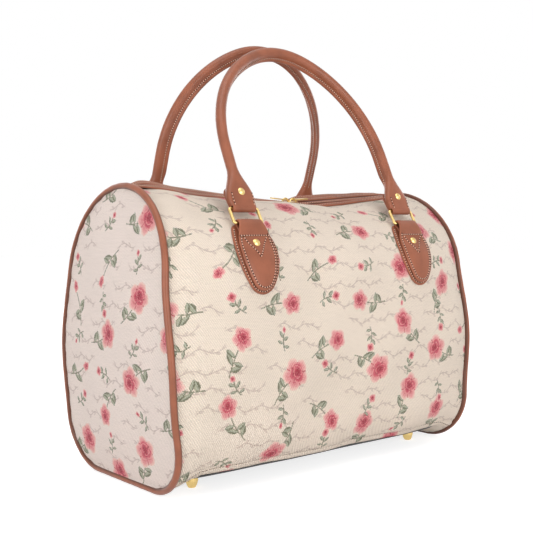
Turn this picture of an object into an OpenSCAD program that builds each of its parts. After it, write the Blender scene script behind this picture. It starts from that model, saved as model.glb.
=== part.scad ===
// Tapestry holdall with arched ends, leather piping, two rolled handles on rings and a zip along the top.
// Millimetres. The bag stands on its four feet at z = 0, its length along X, its front towards -Y.

/* [Body] */
// Length between the two end seams, at the base
body_l = 406; // [370:1:440]
// Height of an end panel, seam to seam
end_h = 300; // [285:1:315]
// Depth of an end panel above its lower corners
end_depth = 214; // [204:1:226]
// Radius of the arched top of an end panel and of the shoulders
arch_r = 94; // [88:1:98]
// Radius of the lower corners
corner_r = 51; // [44:1:56]
// How far each end seam bows outwards at half height
end_bow = 12.5; // [0:0.5:18]
// How far the cloth of an end panel swells past its seam
end_swell = 5; // [0:0.5:9]
// How far the sides curve outwards between shoulder and lower corner
side_bulge = 6; // [0:0.5:10]
// Extra half depth of the shoulders in the middle of the bag
mid_swell = 24; // [14:0.5:28]
// How far the shoulders sink in the middle of the bag
mid_sink = 14.5; // [8:0.5:18]
// Depth of the middle of the bag above its lower corners
mid_depth = 232; // [222:1:244]
// Thickness of the tapestry with its backing
panel_t = 2.2; // [1.6:0.1:3]
// Diameter of the leather piping round each end
pipe_d = 7.6; // [6:0.1:9]

/* [Base and lining] */
// Height of a foot
foot_h = 12; // [9:0.5:16]
// Diameter of a foot at its flange
foot_d = 15; // [11:0.5:18]
// Diameter of the flat that a foot stands on
foot_flat_d = 8; // [5:0.5:10]
// Distance of a foot from the end seam
foot_inset = 42; // [36:1:60]
// Thickness of the stiff board in the base
board_t = 3; // [2:0.5:5]
// Thickness of the lining cloth
lining_t = 0.9; // [0.6:0.1:1.5]

/* [Zip] */
// Where along the bag the zip hangs lowest and the two sliders meet
zip_x = 20; // [-30:1:30]
// Height of the zip at its lowest
zip_low = 289.5; // [284:0.5:293]
// Height of the zip above the top of the end seams, at its ends
zip_lift = 0.5; // [0:0.1:2]
// Tilt of the zip towards the front
zip_tilt = 8; // [0:1:12]
// Half width of the lane between the leather facings
zip_lane = 4.9; // [4.7:0.1:6.5]
// Width of a leather facing
facing_w = 12; // [10:0.5:15]
// Thickness of a leather facing
facing_t = 1.5; // [1.2:0.1:2.2]
// Thickness of the zip tape
tape_t = 0.8; // [0.5:0.1:1]
// Spacing of the teeth
tooth_pitch = 3; // [2:0.25:4]
// Height of the teeth
tooth_h = 2.4; // [2:0.1:2.8]
// Length of a slider
slider_l = 11; // [9:0.5:14]
// Thickness of a slider's plates
slider_t = 1.2; // [1:0.1:1.5]
// Length of a pull from its pivot
pull_l = 22; // [16:0.5:28]

/* [Rings and tabs] */
// Half distance between the two rings of a handle
ring_x = 115.5; // [105:0.5:124]
// Inside width of a ring
ring_w = 32; // [28:0.2:36]
// Inside height of a ring
ring_h = 14.2; // [12:0.2:18]
// Diameter of a ring's bar
bar_d = 3.2; // [2.6:0.1:4]
// Lean of a ring towards the middle of the bag
ring_lean = 31; // [10:1:36]
// Where on the shoulder a tab folds over its ring, as an angle above level
tab_angle = 43.5; // [41:0.5:48]
// Width of the upper leaf of a tab
leaf_w = 42; // [38:0.5:46]
// Reach of the upper leaf below its widest line, to the point its sides aim at
leaf_l = 50; // [46:1:58]
// Width of the backing leaf of a tab
backing_w = 52; // [48:0.5:58]
// Reach of the backing leaf below its widest line, to the point its sides aim at
backing_l = 51; // [48:1:60]
// Thickness of the folded leather
leather_t = 2.2; // [1.8:0.1:2.6]
// Thickness of the backing leaf
backing_t = 1.8; // [1.4:0.1:2.4]
// Diameter of a rivet's cap
rivet_d = 8.4; // [7:0.2:9.4]
// Height of a rivet's cap
rivet_h = 2.4; // [1.6:0.1:3]

/* [Handles] */
// Diameter of the rolled leather handle
handle_d = 11.4; // [10:0.2:14]
// Reach of the sewn seam past the roll, on the inside of the arch
seam_w = 4.6; // [0:0.2:6]
// Reach of a handle from its ring to the middle of its crown
handle_rise = 199; // [170:1:230]
// How far behind the middle of the bag the rear handle's crown stands
rear_crown = 23; // [10:0.5:40]
// Radius of the crown of a handle
crown_r = 90; // [76:1:98]
// Height at which a handle's legs start to curve in
leg_h = 70; // [50:1:80]
// Width of the flat bell at the foot of a leg
bell_w = 33; // [30:0.5:36]
// Height of the bell above the ring
bell_h = 46; // [40:1:56]
// Height of the leather tongue behind a bell
tongue_h = 27; // [22:0.5:32]

/* [Hidden] */
$fn = 48;
corners = [["front_left", -1, -1], ["front_right", 1, -1], ["rear_left", -1, 1], ["rear_right", 1, 1]];
ends = [["left", -1], ["right", 1]];
faces = [["front", -1], ["rear", 1]];

// Clearances: sewn edges, soft pieces laid on each other, a tab on its shoulder, a ring in its leather loops
seam_gap = 0.25;
lay_gap = 0.3;
seat_gap = 0.7;
loop_gap = 0.35;

// Body
half_l = body_l/2;
pipe_r = pipe_d/2;
seam_low = pipe_r + lay_gap;
seam_top = seam_low + end_h;
seam_in = pipe_r + seam_gap;
base_z = foot_h + 0.1;
foot_x = half_l - foot_inset;
foot_ease = 3;
flat_u = (foot_x + foot_d/2 + 4)/half_l;
board_z = base_z + panel_t + lay_gap/2;
lining_floor = board_z + board_t + lay_gap;
lining_in = panel_t + lay_gap;

// Number of steps in each stretch of a section: shoulder, side, lower corner
arch_n = 12;
side_n = 4;
corner_n = 6;

function smooth(t) = let (s = max(0, min(1, t))) s*s*(3 - 2*s);
function lerp(a, b, t) = a + (b - a)*t;
function reversed(list) = [for (i = [len(list) - 1:-1:0]) list[i]];

// A section of the bag at u, from -1 at the left end seam to 1 at the right one
function middle(u) = 1 - pow(abs(u), 6);
function on_base(u) = 1 - smooth((abs(u) - flat_u)/(1 - flat_u));
function arch_y(u) = mid_swell*middle(u);
function arch_z(u) = seam_top - arch_r - mid_sink*middle(u);
function base_half(u) = lerp(end_depth, mid_depth, middle(u))/2 - corner_r;
function base_low(u) = lerp(seam_low, base_z, on_base(u));
function side_angle(u) =
    let (dy = base_half(u) - arch_y(u), dz = base_low(u) + corner_r - arch_z(u))
    atan2(dz, dy) + acos((arch_r - corner_r)/norm([dy, dz]));
function on_arch(u, inset, a) = [arch_y(u) + (arch_r - inset)*cos(a), arch_z(u) + (arch_r - inset)*sin(a)];
function on_corner(u, inset, a) =
    [base_half(u) + (corner_r - inset)*cos(a), base_low(u) + corner_r + (corner_r - inset)*sin(a)];
function half_section(u, inset, edge_y) =
    let (
        start = acos((edge_y - arch_y(u))/(arch_r - inset)),
        slope = side_angle(u),
        high = on_arch(u, inset, slope),
        low = on_corner(u, inset, slope))
    concat(
        [for (i = [0:arch_n]) on_arch(u, inset, lerp(start, slope, i/arch_n))],
        [for (i = [1:side_n - 1]) lerp(high, low, i/side_n)
            + side_bulge*pow(sin(180*i/side_n), 2)*[cos(slope), sin(slope)]],
        [for (i = [0:corner_n]) on_corner(u, inset, lerp(slope, -90, i/corner_n))],
        [[0, base_low(u) + inset]]);

// Bow of the end seams: a point at u and height z lies this far along the bag
function bow(z) = end_bow*sin(180*max(0, min(1, (z - seam_low)/end_h)));
function along(u, z) = u*(half_l - seam_in + bow(z));

// Where along the bag the wrapped cloth has its sections, out to the given end
wrap_u = concat(flat_u*[0.5, 0.7, 0.88, 1], [lerp(flat_u, 1, 0.6)]);
function wrap_stations(last) =
    concat([-last], [for (u = reversed(wrap_u)) -u], [zip_x/half_l], wrap_u, [last]);

// The zip runs straight from its lowest point up to each end seam
zip_high = seam_top + zip_lift;
zip_rise = zip_high - zip_low;
function zip_run(side) = half_l - side*zip_x;
function zip_slope(side) = atan(zip_rise/zip_run(side));
function zip_len(side) = (zip_run(side) - seam_in)/cos(zip_slope(side));
function zip_z(x) = zip_low + zip_rise*abs(x - zip_x)/zip_run(x < zip_x ? -1 : 1);
facing_low = tape_t/2 + 0.1;
tape_out = zip_lane + facing_w*0.55;
panel_edge = tape_out + lay_gap;
facing_out = zip_lane + facing_w;
shoulder_w = 57;

// Near the zip the cloth lies in the tilted plane of the facings, and blends into the shoulder below it
function under_zip(p, u, inset, side) =
    let (
        band = zip_z(u*(half_l - seam_in)) + side*p[0]*tan(zip_tilt) + facing_low - lay_gap - inset,
        t = smooth((p[0] - facing_out - 1)/shoulder_w),
        z = p[1] > arch_z(u) ? lerp(band, p[1], t) : p[1])
    [p[0], z];

// One cross loop of the wrapped cloth, from the front edge of the zip under the base to the rear edge
function wrap_loop(u, inset, floor_z) =
    let (
        half = half_section(u, inset, panel_edge*cos(zip_tilt)),
        front = [for (p = half) under_zip(p, u, inset, -1)],
        rear = [for (p = half) under_zip(p, u, inset, 1)],
        yz = concat([for (p = front) [-p[0], p[1]]], [for (i = [len(rear) - 2:-1:0]) rear[i]]))
    [for (p = yz) [along(u, p[1]), p[0], max(p[1], floor_z)]];

// A sheet of cloth between two grids of points that face each other
module sheet(outer, inner) {
    rows = len(outer);
    cols = len(outer[0]);
    points = concat([for (r = outer, p = r) p], [for (r = inner, p = r) p]);
    under = rows*cols;
    function at(i, j) = i*cols + j;
    skins = [for (i = [0:rows - 2], j = [0:cols - 2]) each [
        [at(i, j), at(i, j + 1), at(i + 1, j + 1)],
        [at(i, j), at(i + 1, j + 1), at(i + 1, j)],
        [under + at(i, j), under + at(i + 1, j + 1), under + at(i, j + 1)],
        [under + at(i, j), under + at(i + 1, j), under + at(i + 1, j + 1)]]];
    rim = concat(
        [for (j = [0:cols - 2]) at(0, j)],
        [for (i = [0:rows - 2]) at(i, cols - 1)],
        [for (j = [cols - 1:-1:1]) at(rows - 1, j)],
        [for (i = [rows - 1:-1:1]) at(i, 0)]);
    edges = [for (k = [0:len(rim) - 1]) let (a = rim[k], b = rim[(k + 1) % len(rim)]) each [
        [a, under + a, under + b],
        [a, under + b, b]]];
    polyhedron(points, concat(skins, edges));
}

// A solid between rings of points, closed at both ends or joined into a loop
module loft(rings, loop = false) {
    sides = len(rings[0]);
    count = len(rings);
    function at(i, j) = (i % count)*sides + j % sides;
    walls = [for (i = [0:count - (loop ? 1 : 2)], j = [0:sides - 1]) each [
        [at(i, j), at(i + 1, j), at(i + 1, j + 1)],
        [at(i, j), at(i + 1, j + 1), at(i, j + 1)]]];
    caps = loop ? [] : [
        [for (j = [0:sides - 1]) j],
        [for (j = [sides - 1:-1:0]) at(count - 1, j)]];
    polyhedron([for (r = rings, p = r) p], concat(walls, caps));
}

// Tapestry wrapped from the front edge of the zip under the base to the rear edge
module main_panel() {
    stations = wrap_stations(1);
    color("antiquewhite")
        sheet([for (u = stations) wrap_loop(u, 0, 0)], [for (u = stations) wrap_loop(u, panel_t, 0)]);
}

// Lining cloth inside the tapestry, lying on the base board
module lining_wrap() {
    stations = wrap_stations(1 - (lining_in + lining_t)/(half_l - seam_in));
    color("tan")
        sheet([for (u = stations) wrap_loop(u, lining_in, lining_floor)],
              [for (u = stations) wrap_loop(u, lining_in + lining_t, lining_floor + lining_t)]);
}

// An end panel's points: rows down the outline, each running across the bag, pushed out by the swell
function end_grid(inset, shift, swell, columns, floor_z) =
    [for (p = half_section(1, inset, arch_r*0.08))
        let (reach = max(p[0], arch_r*0.08), z = max(p[1], floor_z))
        [for (k = [-columns:columns]) let (s = k/columns)
            [half_l + bow(z) + shift + swell*(1 - s*s)*pow(bow_share(z), 0.5), reach*s, z]]];
function bow_share(z) = sin(180*max(0, min(1, (z - seam_low)/end_h)));

module end_cloth(side, inset, shift, thick, swell, columns, floor_z)
    mirror([side < 0 ? 1 : 0, 0, 0])
        sheet(end_grid(inset, shift, swell, columns, floor_z),
              end_grid(inset, shift - thick, swell, columns, floor_z));

// Arched tapestry end, sewn inside its piping
module end_panel(side)
    color("antiquewhite") end_cloth(side, seam_in, panel_t/2, panel_t, end_swell, 4, 0);

// Lining behind an end panel
module lining_end(side)
    color("tan")
        end_cloth(side, seam_in + lining_in, -panel_t/2 - lay_gap, lining_t, end_swell, 3, lining_floor);

// Leather-covered cord sewn into the seam round an end panel
module piping(side) {
    half = half_section(1, 0, 0);
    yz = concat(half, [for (i = [len(half) - 2:-1:1]) [-half[i][0], half[i][1]]]);
    count = len(yz);
    sides = 8;
    rings = [for (i = [0:count - 1])
        let (
            p = yz[i],
            run = yz[(i + 1) % count] - yz[(i + count - 1) % count],
            out = [-run[1], run[0]]/norm(run))
        [for (j = [0:sides - 1]) let (a = 360*j/sides)
            [half_l + bow(p[1]) + pipe_r*sin(a), p[0] + pipe_r*cos(a)*out[0], p[1] + pipe_r*cos(a)*out[1]]]];
    color("sienna") mirror([side < 0 ? 1 : 0, 0, 0]) loft(rings, loop = true);
}

// Stiff board that keeps the base flat, between tapestry and lining
module base_board() {
    ease = 2;
    corner = 18;
    color("burlywood")
        translate([0, 0, board_z])
            linear_extrude(board_t)
                rounded_plate(2*foot_x + foot_d, 2*(base_half(flat_u) - ease), corner);
}

module rounded_plate(l, w, r) {
    square([l - 2*r, w], center = true);
    square([l, w - 2*r], center = true);
    for (x = [-1, 1], y = [-1, 1])
        translate([x*(l/2 - r), y*(w/2 - r)]) circle(r);
}

// Turned brass foot: a flange against the base, then a dome with a flat to stand on
module foot() {
    flange_t = 2;
    dome_r = foot_d/2 - 1;
    foot_y = base_half(foot_x/half_l) + foot_ease - foot_d/2;
    color("goldenrod")
        translate([foot_x, -foot_y, 0])
            rotate_extrude()
                polygon([[0, 0], [foot_flat_d/2, 0], [dome_r*0.82, foot_h*0.22], [dome_r, foot_h*0.55],
                    [dome_r, foot_h - flange_t], [foot_d/2, foot_h - flange_t], [foot_d/2, foot_h], [0, foot_h]]);
}

// Frame of one straight half of the zip: local x runs outwards, y across, z up from the tape's middle
module on_zip(side)
    translate([zip_x, 0, zip_low])
        mirror([side < 0 ? 1 : 0, 0, 0])
            rotate([0, -zip_slope(side), 0]) rotate([zip_tilt, 0, 0]) children();

// A strip along the whole zip: its profile runs across, from the middle of the zip outwards and up
module zip_strip(face, profile) {
    turn = [[cos(zip_tilt), -sin(zip_tilt)], [sin(zip_tilt), cos(zip_tilt)]];
    across = [for (p = face < 0 ? reversed(profile) : profile) turn*[face*p[0], p[1]]];
    loft([for (x = [seam_in - half_l, zip_x, half_l - seam_in])
        [for (p = across) [x, p[0], zip_z(x) + p[1]]]]);
}

// Leather facing with a folded inner edge, sewn over the tape and the edge of the tapestry
module zip_facing(face) {
    edge_r = facing_t/2;
    edge_n = 8;
    middle = [zip_lane + edge_r, facing_low + edge_r];
    fold = [for (i = [0:edge_n]) let (a = lerp(90, 270, i/edge_n)) middle + edge_r*[cos(a), sin(a)]];
    color("sienna")
        zip_strip(face, concat([[facing_out, facing_low], [facing_out, facing_low + facing_t]], fold));
}

// Woven tape that carries one row of teeth
tooth_gap = 1;
tooth_w = 2.4;
tape_in = tooth_gap/2 + tooth_w;
module zip_tape(face)
    color("saddlebrown")
        zip_strip(face, [[tape_in, -tape_t/2], [tape_out, -tape_t/2], [tape_out, tape_t/2], [tape_in, tape_t/2]]);

// One row of teeth along both halves, set half a pitch from the row that faces it
module zip_teeth(face) {
    tip = tooth_gap/2;
    root = tip + tooth_w*0.6;
    spine = tip + tooth_w;
    tooth_l = tooth_pitch*0.55;
    first = face < 0 ? 2 : 2 + tooth_pitch/2;
    color("saddlebrown")
        for (side = [-1, 1]) {
            count = floor((zip_len(side) - first - tooth_pitch)/tooth_pitch);
            teeth = [for (i = [0:count - 1]) let (x = first + i*tooth_pitch) each
                [[x, root], [x, tip], [x + tooth_l, tip], [x + tooth_l, root]]];
            last = first + count*tooth_pitch;
            on_zip(side)
                translate([0, 0, -tooth_h/2])
                    mirror([0, face < 0 ? 1 : 0, 0])
                        linear_extrude(tooth_h)
                            polygon(concat([[first, spine]], teeth, [[last, root], [last, spine]]));
        }
}

// Slider: two plates round the teeth, a keel between the rows and a bow that holds the pull
slider_gap = 1;
slider_w = 2*(zip_lane - 0.5);
plate_low = max(tooth_h/2 + 0.3, facing_low + facing_t*0.7);
plate_top = plate_low + slider_t;
bow_wire = 1.6;
bow_r = (slider_l - bow_wire)/2 - 0.1;
pivot_r = 0.7;
pivot_z = plate_top + bow_r - bow_wire - pivot_r - 0.2;
module zip_slider(side) {
    keel_t = tooth_gap - 0.4;
    keel_l = slider_l*0.5;
    color("goldenrod")
        on_zip(side)
            translate([(slider_l + slider_gap)/2, 0, 0]) {
                for (z = [-plate_top, plate_low])
                    translate([0, 0, z]) linear_extrude(slider_t) rounded_plate(slider_l, slider_w, slider_w*0.3);
                translate([-keel_l/2, -keel_t/2, -plate_low - slider_t/2])
                    cube([keel_l, keel_t, 2*plate_low + slider_t]);
                translate([0, 0, plate_top - bow_wire/2])
                    rotate([90, 0, 0]) rotate_extrude(angle = 180) translate([bow_r, 0]) circle(d = bow_wire);
            }
}

// Pull: a pivot under the slider's bow, two arms past it and a plate with a hole
module zip_pull(side) {
    arm_gap = bow_wire/2 + 0.4;
    arm_w = 1.4;
    plate_x = bow_r + bow_wire/2 + 1;
    plate_w = 2*(arm_gap + arm_w);
    hole_d = plate_w*0.45;
    color("goldenrod")
        on_zip(side)
            translate([(slider_l + slider_gap)/2, 0, pivot_z]) {
                rotate([90, 0, 0]) cylinder(h = plate_w, r = pivot_r, center = true);
                for (y = [-1, 1])
                    translate([0, y*(arm_gap + arm_w/2) - arm_w/2, -pivot_r])
                        cube([plate_x + 1, arm_w, 2*pivot_r]);
                translate([0, 0, -pivot_r])
                    linear_extrude(2*pivot_r)
                        difference() {
                            translate([(plate_x + pull_l)/2, 0])
                                rounded_plate(pull_l - plate_x, plate_w + 1, plate_w*0.3);
                            translate([pull_l - plate_w*0.6, 0]) circle(d = hole_d);
                        }
            }
}

// Places what is drawn for the front right corner at any corner
module at_corner(c)
    mirror([c[1] < 0 ? 1 : 0, 0, 0]) mirror([0, c[2] > 0 ? 1 : 0, 0]) children();

// Seat of a tab: the shoulder is a cylinder here, and the tab's leaves are rolled round it
tab_u = ring_x/half_l;
tab_y = arch_y(tab_u);
tab_z = arch_z(tab_u);
bar_r = bar_d/2;
loop_r = bar_r + loop_gap;
fold_r = loop_r + leather_t;
backing_r = arch_r + seat_gap;
leaf_r = backing_r + backing_t + 0.1;
fold_rho = leaf_r + fold_r;
leaf_turn = 21;
fold_y = tab_y + fold_rho*cos(tab_angle);
fold_z = tab_z + fold_rho*sin(tab_angle);
ring_corner = 0.6;
strap_w = ring_w - 2*ring_corner - 0.8;
leaf_tip_r = 14;
backing_tip_r = 18;
tip_proud = 0.2;
leaf_up = 25;
backing_up = leaf_up + 6;
leaf_line = fold_rho*sin(leaf_turn) - leaf_up - 5;
rivet_turn = leaf_turn - 13;
rivet_hole = 1.6;

// Frame of a tab: local x across, y up the slope, z out of the shoulder, origin on the shoulder's axis
module on_tab()
    translate([ring_x, -tab_y, tab_z]) rotate([90 - tab_angle + leaf_turn, 0, 0]) children();

// A leaf: two arcs and a round tip that stands a little proud of them, cut straight at the top, with its widest
// line on the x axis
module leaf(w, l, tip_r, up) {
    big_r = (l*l + w*w/4)/w;
    off = big_r - w/2;
    tip_y = sqrt(pow(big_r - tip_r, 2) - off*off);
    meet_y = tip_y*big_r/(big_r - tip_r);
    intersection() {
        translate([off, 0]) circle(big_r, $fn = 180);
        translate([-off, 0]) circle(big_r, $fn = 180);
        translate([-w, -meet_y]) square([2*w, up + meet_y]);
    }
    translate([0, -tip_y]) circle(tip_r + tip_proud);
}

// A leaf rolled round the shoulder between two radii, with the rivet's hole through it
module rolled_leaf(inner_r, thick, w, l, tip_r, up)
    difference() {
        intersection() {
            rotate([0, 90, 0]) cylinder(h = 2*w, r = inner_r + thick, center = true, $fn = 180);
            translate([0, leaf_line, 0]) linear_extrude(inner_r + 3*thick) leaf(w, l, tip_r, up);
        }
        rotate([0, 90, 0]) cylinder(h = 3*w, r = inner_r, center = true, $fn = 180);
        rotate([-rivet_turn, 0, 0]) cylinder(h = 2*inner_r, r = rivet_hole);
    }

// Backing leaf of a tab, flat against the tapestry
module tab_backing()
    color("sienna")
        on_tab() rolled_leaf(backing_r, backing_t, backing_w, backing_l, backing_tip_r, backing_up);

// Upper leaf of a tab: folded round the ring's lower bar and sewn down below the fold
module tab_leaf() {
    taper_turn = leaf_turn - 10;
    out_r = leaf_r + leather_t;
    out = [sin(leaf_turn), cos(leaf_turn)];
    low = [sin(taper_turn), cos(taper_turn)];
    fold = fold_rho*out;
    color("sienna")
        on_tab()
            difference() {
                union() {
                    rolled_leaf(leaf_r, leather_t, leaf_w, leaf_l, leaf_tip_r, leaf_up);
                    translate([-strap_w/2, 0, 0])
                        rotate([90, 0, 90])
                            linear_extrude(strap_w)
                                polygon([fold + fold_r*out, fold - (fold_r - 0.6)*out,
                                    (leaf_r + 0.6)*low, (out_r - 0.2)*low]);
                    translate([0, fold[0], fold[1]])
                        rotate([0, 90, 0]) cylinder(h = strap_w, r = fold_r, center = true);
                }
                translate([0, fold[0], fold[1]])
                    rotate([0, 90, 0]) cylinder(h = 2*leaf_w, r = loop_r, center = true);
                rotate([-rivet_turn, 0, 0]) cylinder(h = 2*leaf_r, r = rivet_hole);
            }
}

// Brass rivet: domed cap on a shank, base of the cap at z = 0
module rivet(shank_l) {
    cap_r = rivet_d/2;
    rim_h = rivet_h*0.3;
    dome_r = (cap_r*cap_r + pow(rivet_h - rim_h, 2))/(2*(rivet_h - rim_h));
    color("goldenrod") {
        cylinder(h = rim_h, r = cap_r);
        intersection() {
            translate([0, 0, rivet_h - dome_r]) sphere(dome_r, $fn = 64);
            translate([0, 0, rim_h]) cylinder(h = rivet_h, r = cap_r);
        }
        translate([0, 0, -shank_l]) cylinder(h = shank_l, r = rivet_hole - 0.05);
    }
}

module tab_rivet()
    on_tab()
        rotate([-rivet_turn, 0, 0])
            translate([0, 0, leaf_r + leather_t + 0.03]) rivet(leather_t + backing_t);

// Frame of a ring: origin on its lower bar, z towards its upper bar
ring_pitch = ring_h + bar_d;
module on_ring()
    translate([ring_x, -fold_y, fold_z]) rotate([-ring_lean, 0, 0]) children();

// Brass ring of round bar, a hair thicker in its close bends, which take in the ends of the straight runs
module ring() {
    turn_r = ring_corner + bar_r;
    side_x = ring_w/2 + bar_r;
    bend_r = bar_r + 0.05;
    bend_lap = 8;
    color("goldenrod")
        on_ring() {
            for (z = [0, ring_pitch])
                translate([0, 0, z]) rotate([0, 90, 0]) cylinder(h = 2*(side_x - turn_r), r = bar_r, center = true);
            for (x = [-1, 1])
                translate([x*side_x, 0, turn_r]) cylinder(h = ring_pitch - 2*turn_r, r = bar_r);
            for (x = [0, 1], z = [0, 1])
                mirror([x, 0, 0])
                    translate([side_x - turn_r, 0, z ? ring_pitch - turn_r : turn_r])
                        rotate([90, 0, 0])
                            rotate([0, 0, (z ? 0 : -90) - bend_lap])
                                rotate_extrude(angle = 90 + 2*bend_lap) translate([turn_r, 0]) circle(bend_r);
        }
}

// A handle stands on its rings' upper bars. The front one leans in to the bag's middle, the rear one less.
handle_r = handle_d/2;
front_crown = handle_r + 0.4;
bar_y = fold_y - ring_pitch*sin(ring_lean);
bar_z = fold_z + ring_pitch*cos(ring_lean);
function handle_lean(face) = asin((bar_y - (face < 0 ? front_crown : rear_crown))/handle_rise);
module on_handle(face)
    translate([0, -bar_y, bar_z]) rotate([-handle_lean(face), 0, 0]) children();

// Middle line of a handle: leg, side arc and crown, tangent to each other. At length s from the ring's
// bar it gives [x, z] and the direction out of the arch.
rise = handle_rise - leg_h;
side_r = (ring_x*ring_x + rise*rise - 2*rise*crown_r)/(2*(ring_x - crown_r));
sweep = acos((side_r - ring_x)/(side_r - crown_r));
crown_z = leg_h + (side_r - crown_r)*sin(sweep);
side_end = leg_h + side_r*sweep*PI/180;
half_line = side_end + crown_r*(90 - sweep)*PI/180;
function turned(s) = s < side_end ? max(0, s - leg_h)/side_r*180/PI : sweep + (s - side_end)/crown_r*180/PI;
function handle_out(s) = [cos(turned(s)), sin(turned(s))];
function handle_line(s) =
    s < leg_h ? [ring_x, s]
    : s < side_end ? [ring_x - side_r, leg_h] + side_r*handle_out(s)
    : [0, crown_z] + crown_r*handle_out(s);

// Across the handle: a flat rounded strap at the ring, a bell above it, then the round roll with a sewn seam
// that faces the other handle on the legs and straight down at the crown
bell_mid = 11;
bell_full = bell_h*0.66;
handle_sides = 16;
leg_seam = 130;
crown_seam = 180;
function seam_turn(s) = lerp(leg_seam, crown_seam, smooth((s - bell_h)/(half_line - bell_h)));
function seam_reach(s, a) =
    seam_w*smooth((s - bell_full)/(bell_h - bell_full))*pow(max(0, cos(a - seam_turn(s))), 8);
function handle_half_w(s) =
    s < bell_mid ? lerp(strap_w/2 - 0.4, bell_w/2, smooth(s/bell_mid))
                 : lerp(bell_w/2, handle_r, smooth((s - bell_mid)/(bell_h - bell_mid)));
function handle_half_t(s) = lerp(fold_r*0.8, handle_r, smooth(s/bell_full));
function handle_ring(s, side) =
    let (e = 2/lerp(4, 2, smooth(s/bell_h)), p = handle_line(s), out = handle_out(s))
    [for (j = [0:handle_sides - 1])
        let (
            a = 360*j/handle_sides,
            c = cos(a),
            d = sin(a),
            w = handle_half_w(s)*sign(c)*pow(abs(c), e) + seam_reach(s, a)*c,
            y = handle_half_t(s)*sign(d)*pow(abs(d), e) + seam_reach(s, a)*d)
        [side*(p[0] + w*out[0]), y, p[1] + w*out[1]]];
handle_rivet_s = 17;
handle_rivet_seat = handle_half_t(handle_rivet_s) - 0.5;
tongue_lean = 9;

// Foot of a leg: the loop round the ring's upper bar and the tongue sewn behind the bell
module handle_foot() {
    tongue_w = strap_w - 1;
    rotate([0, 90, 0]) cylinder(h = strap_w, r = fold_r, center = true);
    rotate([-tongue_lean, 0, 0])
        translate([0, fold_r - 0.2, 0])
            rotate([90, 0, 0])
                linear_extrude(leather_t) {
                    translate([-tongue_w/2, 0]) square([tongue_w, tongue_h - tongue_w/2]);
                    translate([0, tongue_h - tongue_w/2]) circle(tongue_w/2);
                }
}

// Rolled leather handle, from one ring over the crown to the other
module handle(face) {
    bell_n = 8;
    roll_n = 12;
    stations = concat(
        [for (i = [0:bell_n]) lerp(1, bell_h, i/bell_n)],
        [for (i = [1:roll_n]) lerp(bell_h, half_line, i/roll_n)]);
    back = [for (i = [len(stations) - 2:-1:0]) stations[i]];
    color("sienna")
        on_handle(face)
            difference() {
                union() {
                    loft(concat([for (s = stations) handle_ring(s, 1)], [for (s = back) handle_ring(s, -1)]));
                    for (x = [-1, 1])
                        translate([x*ring_x, 0, 0]) handle_foot();
                }
                for (x = [-1, 1])
                    translate([x*ring_x, 0, 0]) {
                        rotate([0, 90, 0]) cylinder(h = 2*bell_w, r = loop_r, center = true);
                        translate([0, -handle_rivet_seat, handle_rivet_s])
                            rotate([90, 0, 0]) {
                                cylinder(h = handle_d, r = rivet_d/2 + 0.1);
                                translate([0, 0, -4.1]) cylinder(h = 5, r = rivet_hole);
                            }
                    }
            }
}

module handle_rivet(face)
    on_handle(face)
        translate([ring_x, -handle_rivet_seat - 0.03, handle_rivet_s]) rotate([90, 0, 0]) rivet(4);

main_panel();
base_board();
lining_wrap();
for (e = ends) {
    end_panel(e[1]);
    piping(e[1]);
    lining_end(e[1]);
    zip_slider(e[1]);
    zip_pull(e[1]);
}
for (f = faces) {
    zip_facing(f[1]);
    zip_tape(f[1]);
    zip_teeth(f[1]);
    mirror([0, f[1] > 0 ? 1 : 0, 0]) handle(f[1]);
}
for (c = corners) {
    at_corner(c) foot();
    at_corner(c) tab_backing();
    at_corner(c) tab_leaf();
    at_corner(c) tab_rivet();
    at_corner(c) ring();
    at_corner(c) handle_rivet(c[2]);
}
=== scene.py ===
import math

import bmesh
import bpy
import numpy as np
from mathutils import Matrix, Vector


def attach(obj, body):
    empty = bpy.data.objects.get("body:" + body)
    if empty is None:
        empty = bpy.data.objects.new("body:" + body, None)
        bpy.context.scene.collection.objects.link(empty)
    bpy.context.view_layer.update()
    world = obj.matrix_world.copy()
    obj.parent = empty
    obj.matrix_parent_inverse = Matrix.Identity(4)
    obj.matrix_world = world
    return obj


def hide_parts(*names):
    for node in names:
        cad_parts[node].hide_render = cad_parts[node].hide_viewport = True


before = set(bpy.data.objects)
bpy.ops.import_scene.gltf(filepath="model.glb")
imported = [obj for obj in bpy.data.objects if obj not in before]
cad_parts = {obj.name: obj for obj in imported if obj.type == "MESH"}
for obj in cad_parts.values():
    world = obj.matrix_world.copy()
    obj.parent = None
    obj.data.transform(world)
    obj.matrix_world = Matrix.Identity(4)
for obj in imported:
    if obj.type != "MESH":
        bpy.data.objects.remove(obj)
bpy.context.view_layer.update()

# Tapestry wrap: one width of woven tapestry that runs from the front edge of the zip down the front, under
# the base and up the back. Filled, it swells in the middle, sags a little and puckers where it is sewn.
# All lengths are millimetres until a mesh is made.
half_l, end_h, seam_in = 203.0, 300.0, 4.05
seam_low, base_z = 4.1, 12.1
seam_top = seam_low + end_h
arch_r, corner_r = 94.0, 51.0
end_depth, mid_depth = 214, 232
mid_swell, mid_sink, side_bulge, end_bow = 24, 14.5, 6, 12.5
foot_x, foot_r, foot_clear = 161, 7.5, 4
flat_u = (foot_x + foot_r + foot_clear)/half_l
zip_x, zip_low, zip_high = 20.0, 289.5, 304.6
zip_tilt = math.tan(math.radians(8))
lane, facing_w, facing_low = 4.9, 12.0, 0.5
facing_out = lane + facing_w
twist_at = (-200, -165, -120, -62, -12, 20, 48, 85, 140, 200)
twist_deg = (8, 20, 19, 12, 4, 8, 28, 27, 20, 7)
cloth_t, tuck = 2.2, 0.9
wrap_edge, under_facing, shoulder_run = 11.7, 0.3, 57
tab_x, tab_down = 115.5, 122
crease_up = 102.0


def smooth(t):
    t = np.clip(t, 0, 1)
    return t*t*(3 - 2*t)


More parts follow.
